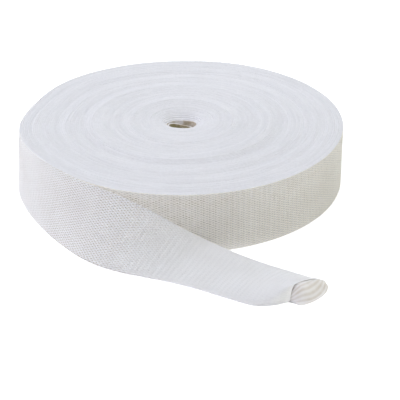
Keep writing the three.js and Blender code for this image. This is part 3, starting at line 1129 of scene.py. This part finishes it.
@dataclass
class LooseEnd:
    """The part of the tape that has come off the roll, from the rim to the tube's open mouth."""

    axis: Vector
    roll: WoundRoll

    # The two plies.
    half: float = 0.65  # half the thickness of the two plies where they lie loose
    wound_half: float = 0.475  # and where they are still wound
    loosens_over: float = 0.2  # the share of the loose end in which they swell to that
    ply_middle: float = 0.36  # from the tape's middle to the middle of a ply
    ply_gap: float = 1.6  # from ply to ply at the mouth, as a multiple of that
    ply_thickness: float = 0.12  # of the ground between open stitches
    filled: float = 0.1  # how much thicker it is where the stitches close up
    closed_relief: float = 0.6  # how flat the yarn lies there
    fold_pressed: float = 0.45  # the upper fold is pressed to this share of the thickness
    pressed_width: float = 0.25  # and it thickens again over this share of the width
    fold_bulge: float = 1.2  # how far the folds stand out, as a multiple of half a fold's height
    lowest: float = 0.36  # from the surface that it lies on to the middle of the cloth

    # Along the tape.
    stitches_open: float = 0.15  # where the tape leaves the roll, and how that changes
    opening: tuple[Change, ...] = (Change(0.75, 68.0, 100.0), Change(-0.85, 118.0, 165.0))
    open_shade: float = 1.35  # the shade of the ground between open stitches
    closing: Change = Change(0.1, 70.0, 105.0)  # the courses lie closer where the pull ends
    snug: tuple[Change, ...] = (Change(1.0, 160.0, 172.0), Change(-1.0, 272.0, 286.0))  # to the roll
    view_slope: float = 0.48  # the fold sinks as it draws in, so that it keeps its place in the picture

    # The mouth, by the way to it in millimetres.
    mouth_from: float = 14.0
    squares_up: tuple[float, float] = (1.0, 12.0)  # the tube's section turns from a slack bow to a box
    box_full: float = 0.7
    box_square: int = 20
    bow_full: float = 0.8
    bow_lean: float = 1.4  # the bow is highest nearer the foot
    foot_shorter: float = 0.6  # the tape bends, and its way to the mouth is shorter at the foot
    tongue: float = 7.0  # how far the lower ply is pulled out
    tongue_at_fold: float = 5.6
    tongue_widest: float = 0.6  # as a share of the way from the upper fold to the foot
    tongue_from: float = 9.0
    tongue_later: Change = Change(0.8, 0.6, 0.95)  # towards the foot it is pulled from nearer the mouth
    tongue_ends: tuple[float, float] = (0.95, 1.0)  # the foot's fold itself stays
    tongue_pull: float = 1.2  # more than 1 pulls the last of the ply the most
    ruck_sinks: Change = Change(0.06, 0.8, 3.0)  # the lower ply is rucked up, but less behind the rim
    rim_overlap: Change = Change(0.6, -0.8, 0.3)  # in front of it, it stands as high as the rim's middle
    rucked: tuple[float, float] = (9.0, 14.0)  # the rucks fade out here
    ruck_slope: tuple[float, float] = (0.15, 1.0)  # they fall off over this share of the pulled part
    ruck_steep: float = 8.0  # how steeply they rise from the upper fold
    ruck_foot: tuple[float, float] = (0.08, 0.36)  # and from the foot, as shares of the width
    ridges_start: tuple[float, float] = (0.0, 1.5)
    ridges_end: tuple[float, float] = (5.0, 8.0)
    ridge_pitch: float = 0.85
    ridge_bend: float = 0.6  # in ridges, at the middle of the width
    trough_depth: float = 0.15
    trough_shade: float = 0.45
    mouth_shade: float = 0.38  # little light gets into the tube

    # The mesh.
    rings: int = 130
    mouth_rings: int = 80
    ply_points: int = 25
    fold_points: int = 3
    samples: int = 1500  # by which the length along the tape is measured
    rows: tuple[LooseRow, ...] = (
        LooseRow(158.3, 77.3, 29.4, 158.3, 77.3, 0, 0),
        LooseRow(170, 78.2, 29.5, 170, 78.5, 0, 0),
        LooseRow(182, 79.4, 29.6, 181.5, 80, 0, 0),
        LooseRow(195, 79.5, 29.8, 193, 81, 0, 0),
        LooseRow(207, 78.5, 30, 205, 81.6, 0.1, 0),
        LooseRow(218, 77.9, 30.1, 216, 83.2, 0.3, 0),
        LooseRow(228, 78, 30.1, 225.5, 85.8, 0.6, 0),
        LooseRow(236.5, 78.8, 29.7, 233.5, 89, 1, 0),
        LooseRow(244.5, 79.3, 28.7, 240.5, 92.6, 1.4, 0),
        LooseRow(252.9, 79.4, 25.7, 247.3, 95.6, 1.8, 0),
        LooseRow(261.8, 79.5, 20.2, 254.2, 97.8, 1.9, 0),
        LooseRow(270.4, 79.9, 13.2, 261.4, 99.9, 1.6, 0),
        LooseRow(278.6, 82, 7.2, 268.4, 103.9, 0.9, 0),
        LooseRow(285.8, 88.6, 3.6, 274.6, 110.5, 0.4, 0.1),
        LooseRow(291.5, 98.4, 2, 279.4, 118.3, 0, 1.2),
        LooseRow(296.1, 109.4, 1.4, 283.9, 125.9, 0, 4.2),
        LooseRow(298.5, 116.3, 1, 287.5, 127.6, 0, 6.8),
        LooseRow(299.9, 121, 0.7, 290.4, 127, 0, 7.1),
    )

    @staticmethod
    def _round(angle: float, radius: float, height: float) -> list[float]:
        """A point given by its angle and radius round the roll's axis."""
        turned = math.radians(angle)
        return [radius * math.cos(turned), radius * math.sin(turned), height]

    def _half_at(self, share: np.ndarray) -> np.ndarray:
        """Half the tape's thickness, by the share of the loose end."""
        loosened = np.clip(share / self.loosens_over, 0.0, 1.0)
        return self.wound_half + (self.half - self.wound_half) * loosened

    def frames(self) -> dict[str, np.ndarray]:
        """Evenly spaced sections of the loose end, closer ones at the mouth.

        Returns:
            For each section its upper fold, the way across to the foot, outwards and along, its
            sag, gape and half thickness, and its place along the tape.
        """
        angles = np.array([r.top_angle for r in self.rows])
        radii = np.array([r.top_radius for r in self.rows])
        heights = np.array([r.top_height for r in self.rows])
        wall = self.roll.rim(angles) + self._half_at(np.linspace(0, 1, len(self.rows))) * self.fold_pressed
        drawn = total(self.snug, angles) * np.maximum(radii - wall, 0.0)
        heights = heights - drawn * self.view_slope * np.maximum(-np.sin(np.radians(angles)), 0.0)
        tops = np.array([self._round(*row) for row in zip(angles, radii - drawn, heights)])
        feet = np.array([self._round(r.foot_angle, r.foot_radius, self.half) for r in self.rows])
        forms = np.array([[r.sag, r.gape, 0.0] for r in self.rows])
        fine = np.linspace(0, 1, self.samples)
        middle = (centripetal(tops, fine) + centripetal(feet, fine)) / 2
        run = np.concatenate([[0.0], np.cumsum(np.linalg.norm(np.diff(middle, axis=0), axis=1))])
        mouth_from = run[-1] - self.mouth_from
        before = np.linspace(0, mouth_from, self.rings, endpoint=False)
        place = np.concatenate([before, np.linspace(mouth_from, run[-1], self.mouth_rings)])
        share = np.interp(place, run, fine)
        top, foot = centripetal(tops, share), centripetal(feet, share)
        form = np.maximum(centripetal(forms, share), 0.0)
        across = foot - top
        forward = np.gradient(top, place, axis=0) + np.gradient(foot, place, axis=0)
        out = np.cross(across, forward)
        out /= np.linalg.norm(out, axis=1, keepdims=True)
        along = np.cross(out, across)
        along[:, 2] = 0.0
        along /= np.linalg.norm(along, axis=1, keepdims=True)
        return {
            "top": top,
            "across": across,
            "out": out,
            "along": along,
            "sag": form[:, 0],
            "gape": form[:, 1],
            "half": self._half_at(share),
            "place": place,
        }

    def section(self) -> tuple[np.ndarray, np.ndarray, np.ndarray]:
        """The points of one section, round the flat tube from its foot.

        Returns:
            Each point's share of the width from the upper fold, how far it lies beyond a fold in
            half thicknesses, and its side: 1 on the upper ply, -1 on the lower, between at folds.
        """
        spread = (1 - np.cos(np.linspace(0.0, math.pi, self.ply_points))) / 2
        turn = np.linspace(-math.pi / 2, math.pi / 2, self.fold_points + 2)[1:-1]
        upper = (1 - spread, np.zeros_like(spread), np.ones_like(spread))
        top_fold = (np.zeros_like(turn), -np.cos(turn), -np.sin(turn))
        lower = (spread, np.zeros_like(spread), -np.ones_like(spread))
        foot_fold = (np.ones_like(turn), np.cos(turn), np.sin(turn))
        parts = (upper, top_fold, lower, foot_fold)
        share, beyond, side = (np.concatenate([p[i] for p in parts]) for i in range(3))
        return share, beyond, side

    def middle_surface(self, rucked: bool) -> tuple[np.ndarray, np.ndarray]:
        """The middle of the cloth, all round the tube.

        Args:
            rucked: Whether the lower ply is rucked up into the mouth, as its ground is.

        Returns:
            Points round the roll's axis, first along and then round the tube, and how far along
            the tape each section lies.
        """
        f = self.frames()
        share, beyond, side = self.section()
        u = np.broadcast_to(share[None, :], (len(f["place"]), len(share)))
        half, left = f["half"][:, None], f["place"][-1] - f["place"][:, None]
        pressed = self.fold_pressed + (1 - self.fold_pressed) * ramp(u, 0.0, self.pressed_width)
        ply = half * self.ply_middle / self.half * pressed
        hollow = f["sag"][:, None] * 4 * u * (1 - u)
        points = f["top"][:, None, :] + f["across"][:, None, :] * u[..., None]
        points = points - f["out"][:, None, :] * hollow[..., None]
        points[..., 2] = np.maximum(points[..., 2], half)

        boxy = np.sin(math.pi * u / 2) ** self.box_full * np.sqrt(np.maximum(1 - u**self.box_square, 0.0))
        slack = np.sin(math.pi * u**self.bow_lean) ** self.bow_full

        def height(left: np.ndarray) -> np.ndarray:
            """The height inside the tube, by the way to the mouth."""
            gape = np.interp(left, f["place"][-1] - f["place"][::-1], f["gape"][::-1])
            return gape * (slack + (boxy - slack) * (1 - ramp(left, *self.squares_up)))

        room = height(np.broadcast_to(left, u.shape))
        inside = left - self._tongue(left, u) / self.shorter(u)
        above = height(np.maximum(inside, 0.0)) * (1 - self.ruck_sinks.at(inside))
        above = above + self.ply_gap * ply + self.rim_overlap.at(-inside)
        climb = self._rucks(left, u, above) if rucked else 0.0 * room
        lift = np.where(side > 0, side * (ply + room), side * ply + climb)
        sideways = f["across"] / np.linalg.norm(f["across"], axis=1, keepdims=True)
        pulled = self._tongue(left, u) * (side < -0.5)
        points = points + f["out"][:, None, :] * lift[..., None]
        points = points + sideways[:, None, :] * (beyond * ply * self.fold_bulge)[..., None]
        points = points + f["along"][:, None, :] * pulled[..., None]
        points[..., 2] = np.maximum(points[..., 2], self.lowest)
        return points, f["place"]

    def shorter(self, u: np.ndarray) -> np.ndarray:
        """How much shorter the bent tape's way to the mouth is, by the share of its width."""
        return 1 - self.foot_shorter * u

    def _rucks(self, left: np.ndarray, u: np.ndarray, room: np.ndarray) -> np.ndarray:
        """How far the lower ply is rucked up inside the mouth.

        Args:
            left: How far each section lies from the mouth.
            u: The share of the tape's width.
            room: The height of the tube where that part of the ply ends up.

        Returns:
            The height at each point.
        """
        off_the_folds = np.minimum(1.0, self.ruck_steep * np.sqrt(u)) * ramp(1 - u, *self.ruck_foot)
        pulled_out = self._tongue(left, u) - left * self.shorter(u)
        tip = np.maximum(self._tongue(0 * left, u), 0.01)
        slope = 1 - ramp(pulled_out / tip, *self.ruck_slope)
        carved = self.trough_depth * self._troughs(left, u) * ramp(left, *self.ridges_start)
        return np.maximum(room * slope - carved, 0.0) * off_the_folds * (1 - ramp(left, *self.rucked))

    def _troughs(self, left: np.ndarray, u: np.ndarray) -> np.ndarray:
        """How deep the rucked ply's troughs are, from 0 to 1, by the way to the mouth and the width."""
        ridges = left / self.ridge_pitch + self.ridge_bend * np.sin(math.pi * u)
        return np.sin(math.pi * ridges) ** 2 * (1 - ramp(left, *self.ridges_end))

    def _tongue(self, left: np.ndarray, u: np.ndarray) -> np.ndarray:
        """How far the lower ply is pulled out of the mouth.

        Args:
            left: How far each section lies from the mouth.
            u: The share of the tape's width.

        Returns:
            The distance at each point.
        """
        widest = self.tongue_widest
        rounded = np.sqrt(np.maximum(1 - (1 - np.minimum(u / widest, 1.0)) ** 2, 0.0))
        past = np.clip((u - widest) / (1 - widest), 0.0, 1.0)
        reach = self.tongue * rounded - (self.tongue - self.tongue_at_fold) * past**2
        starts = self.tongue_from * (1 - self.tongue_later.at(u))
        pull = np.clip(1 - left / starts, 0.0, 1.0) ** self.tongue_pull
        return reach * pull * (1 - ramp(u, *self.tongue_ends))

    @staticmethod
    def outward_of(points: np.ndarray) -> np.ndarray:
        """The outward direction at each point of a tube, from its neighbours.

        Args:
            points: The points, first along and then round the tube.

        Returns:
            A direction of length 1 for each point.
        """
        along = np.gradient(points, axis=0)
        wrapped = np.concatenate([points[:, -1:], points, points[:, :1]], axis=1)
        round_tube = wrapped[:, 2:] - wrapped[:, :-2]
        out = np.cross(along, round_tube)
        return out / np.maximum(np.linalg.norm(out, axis=-1, keepdims=True), 1e-9)

    def openness(self, along: np.ndarray) -> np.ndarray:
        """How open the stitches stand, from 0 to 1: the tape is pulled where it leans off the roll."""
        return self.stitches_open + total(self.opening, along)

    def build_cloth(self, ground: bpy.types.Material) -> tuple[bpy.types.Object, float]:
        """Builds the ground of the tube's cloth, as a thin closed shell open at the mouth.

        Args:
            ground: The finish of the ground.

        Returns:
            The piece and its length along the tape.
        """
        points, run = self.middle_surface(rucked=True)
        openness = self.openness(run)
        thickness = self.ply_thickness + self.filled * (1 - openness)
        offset = self.outward_of(points) * thickness[:, None, None] / 2
        shell = np.concatenate([points + offset, (points - offset)[::-1]])
        rows, columns = shell.shape[:2]
        corner = np.arange(rows * columns).reshape(rows, columns)
        after = np.roll(corner, -1, axis=1)
        below, below_after = np.roll(corner, -1, axis=0), np.roll(after, -1, axis=0)
        faces = np.stack([corner, after, below_after, below], axis=-1).reshape(-1, 4)
        piece = mesh_object("loose_cloth", in_frame(shell, self.axis), faces)
        share, _, side = self.section()
        left = (run[-1] - run)[:, None]
        troughs = self._troughs(left, share[None, :]) * (side < -0.5)
        outer = np.broadcast_to(self.open_shade * openness[:, None], troughs.shape)
        inner = self.mouth_shade + self.trough_shade * troughs[::-1]
        store_on_points(piece.data, "shade", np.concatenate([outer, inner]).ravel())
        piece.data.materials.append(ground)
        return piece, float(run[-1])

    def build_yarn(self, recipe: KnitRecipe, yarn: bpy.types.Material) -> list[bpy.types.Object]:
        """Knits the tube round its ground.

        Args:
            recipe: The recipe that knits a tube.
            yarn: The yarn's finish.

        Returns:
            The knit.
        """
        points, run = self.middle_surface(rucked=False)
        relief = self.closed_relief + (1 - self.closed_relief) * self.openness(run)
        outward = self.outward_of(points) * relief[:, None, None]
        points = np.concatenate([points, points[:, :1]], axis=1)
        outward = np.concatenate([outward, outward[:, :1]], axis=1)
        steps = np.linalg.norm(np.diff(points, axis=1), axis=2)
        across = np.concatenate([np.zeros((len(points), 1)), np.cumsum(steps, axis=1)], axis=1)
        girth = float(np.median(across[:, -1]))
        closed_up = 1 + self.closing.at(run)
        stitches = np.concatenate([[0.0], np.cumsum(np.diff(run) * (closed_up[1:] + closed_up[:-1]) / 2)])
        knitted = float(stitches[-1])
        surface = grid_surface(
            "loose_surface", points, outward, stitches / knitted, across / across[:, -1:], self.axis
        )
        names = ("standing_end_knit", "lying_end_knit")
        return recipe.knit(surface, knitted, girth, yarn, names)


@dataclass(frozen=True)
class SoftLight:
    """A soft square light that points at the roll."""

    name: str
    place: tuple[float, float, float]  # in metres from the roll's axis
    side: float  # in metres
    power: float  # in watts
    colour: str

    def hang(self, axis: Vector) -> None:
        """Hangs the light in the scene.

        Args:
            axis: Where the roll's axis meets the surface it lies on, in metres.
        """
        data = bpy.data.lights.new(self.name, "AREA")
        data.size = self.side
        data.energy = self.power
        data.color = linear(self.colour)[:3]
        light = add_object(self.name, data)
        place = Vector(self.place)
        light.location = place + Vector((axis.x, axis.y, 0))
        light.rotation_euler = (-place).to_track_quat("-Z", "Y").to_euler()


@dataclass
class Studio:
    """A white floor, the camera, and soft light from above, from both sides and from behind."""

    axis: Vector
    lens: float = 118.08
    distance: float = 647.4
    elevation: float = 25.53
    roll: float = -0.26
    aim: tuple[float, float] = (0.013, -0.040)
    face_height: float = 30.26
    floor_half: float = 6.0  # in metres
    world_strength: float = 0.05
    lights: tuple[SoftLight, ...] = (
        SoftLight("overhead", (-0.1, 0.3, 1.8), 1.6, 8.6, "#ebfdff"),
        SoftLight("key", (-0.1, -0.6, 1.7), 1.6, 24.5, "#faf7ff"),
        SoftLight("left", (-1.6, 0.1, 0.5), 1.2, 10.2, "#fff7f1"),
        SoftLight("right", (1.6, -0.7, 0.5), 1.2, 7.6, "#fffac4"),
        SoftLight("back", (0.0, 0.45, 0.35), 0.4, 0.75, "#ffffff"),
    )

    def build_floor(self) -> bpy.types.Object:
        """Lays the floor.

        Returns:
            The floor, which belongs to the stage.
        """
        size = self.floor_half
        corners = np.array([[-size, -size, 0], [size, -size, 0], [size, size, 0], [-size, size, 0]])
        floor = mesh_object("floor", corners, [(0, 1, 2, 3)])
        floor.data.materials.append(WhitePaper().build())
        return floor

    def build_camera(self) -> bpy.types.Object:
        """Sets the camera where the photograph was taken from.

        Returns:
            The camera.
        """
        rise = math.radians(self.elevation)
        height = self.distance * math.sin(rise) + self.face_height / 2
        place = Vector((0, -self.distance * math.cos(rise), height))
        level = Vector((0, math.cos(rise), -math.sin(rise)))
        upright = Vector((0, math.sin(rise), math.cos(rise)))
        forward = (level + self.aim[0] * Vector((1, 0, 0)) + self.aim[1] * upright).normalized()
        right = forward.cross(Vector((0, 0, 1))).normalized()
        up = right.cross(forward)
        turn = math.radians(self.roll)
        right, up = (
            math.cos(turn) * right + math.sin(turn) * up,
            math.cos(turn) * up - math.sin(turn) * right,
        )
        data = bpy.data.cameras.new("camera")
        data.lens = self.lens
        data.sensor_width = 36.0
        data.clip_end = 20.0
        camera = add_object("camera", data)
        turned = Matrix((right, up, -forward)).transposed().to_4x4()
        turned.translation = place * MM + Vector((self.axis.x, self.axis.y, 0))
        camera.matrix_world = turned
        bpy.context.scene.camera = camera
        return camera

    def light(self) -> None:
        """Lights the roll."""
        world = bpy.data.worlds.new("studio")
        world.use_nodes = True
        background = world.node_tree.nodes["Background"]
        background.inputs["Color"].default_value = linear("#ffffff")
        background.inputs["Strength"].default_value = self.world_strength
        bpy.context.scene.world = world
        for light in self.lights:
            light.hang(self.axis)
        bpy.context.scene.view_settings.view_transform = "Standard"


def dress(piece: bpy.types.Object, *nodes: str) -> None:
    """Puts a finished piece on the bandage's body and reports it.

    Args:
        piece: The piece.
        *nodes: The nodes that it stands for.
    """
    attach(piece, BODY)
    if nodes:
        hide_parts(*nodes)
    mesh = piece.data
    mesh.calc_loop_triangles()
    log.info("%s: %d triangles", piece.name, len(mesh.loop_triangles))


def roll_axis() -> Vector:
    """Finds the roll's axis: it runs through the middle of the hole that the record states.

    Returns:
        Where the axis meets the surface that the roll lies on, in metres.
    """
    openings = frame["record"]["physics"]["openings"]
    low, high = next(o["box_m"] for o in openings if o["name"] == "centre_hole")
    return Vector(((low[0] + high[0]) / 2, (low[1] + high[1]) / 2, 0.0))


def main() -> None:
    """Builds the bandage and its studio."""
    logging.basicConfig(level=logging.INFO, format="%(name)s: %(message)s")
    axis = roll_axis()
    studio = Studio(axis)
    studio.build_camera()
    studio.build_floor()
    studio.light()

    jersey = Jersey()
    yarn, ground, edge = BleachedYarn().build(), ShadedGround().build(), WoundEdge().build()
    # The yarn of the packed turns takes a painted warm light on its front.
    wound_yarn = BleachedYarn("wound_cotton_yarn_painted_warm_light", painted_warm_light="#fcf8ee").build()

    roll = WoundRoll(axis)
    for piece in roll.build_turns(WindRecipe(), edge):
        dress(piece, "wound_roll")
    for piece in roll.build_wall(KnitRecipe(jersey, Cut.STRIP), wound_yarn):
        dress(piece, "wound_roll")

    loose = LooseEnd(axis, roll)
    cloth, length = loose.build_cloth(ground)
    knit = loose.build_yarn(KnitRecipe(jersey, Cut.TUBE), yarn)
    for piece in (cloth, *knit):
        dress(piece, "loose_end")


if __name__ == "__main__":
    main()
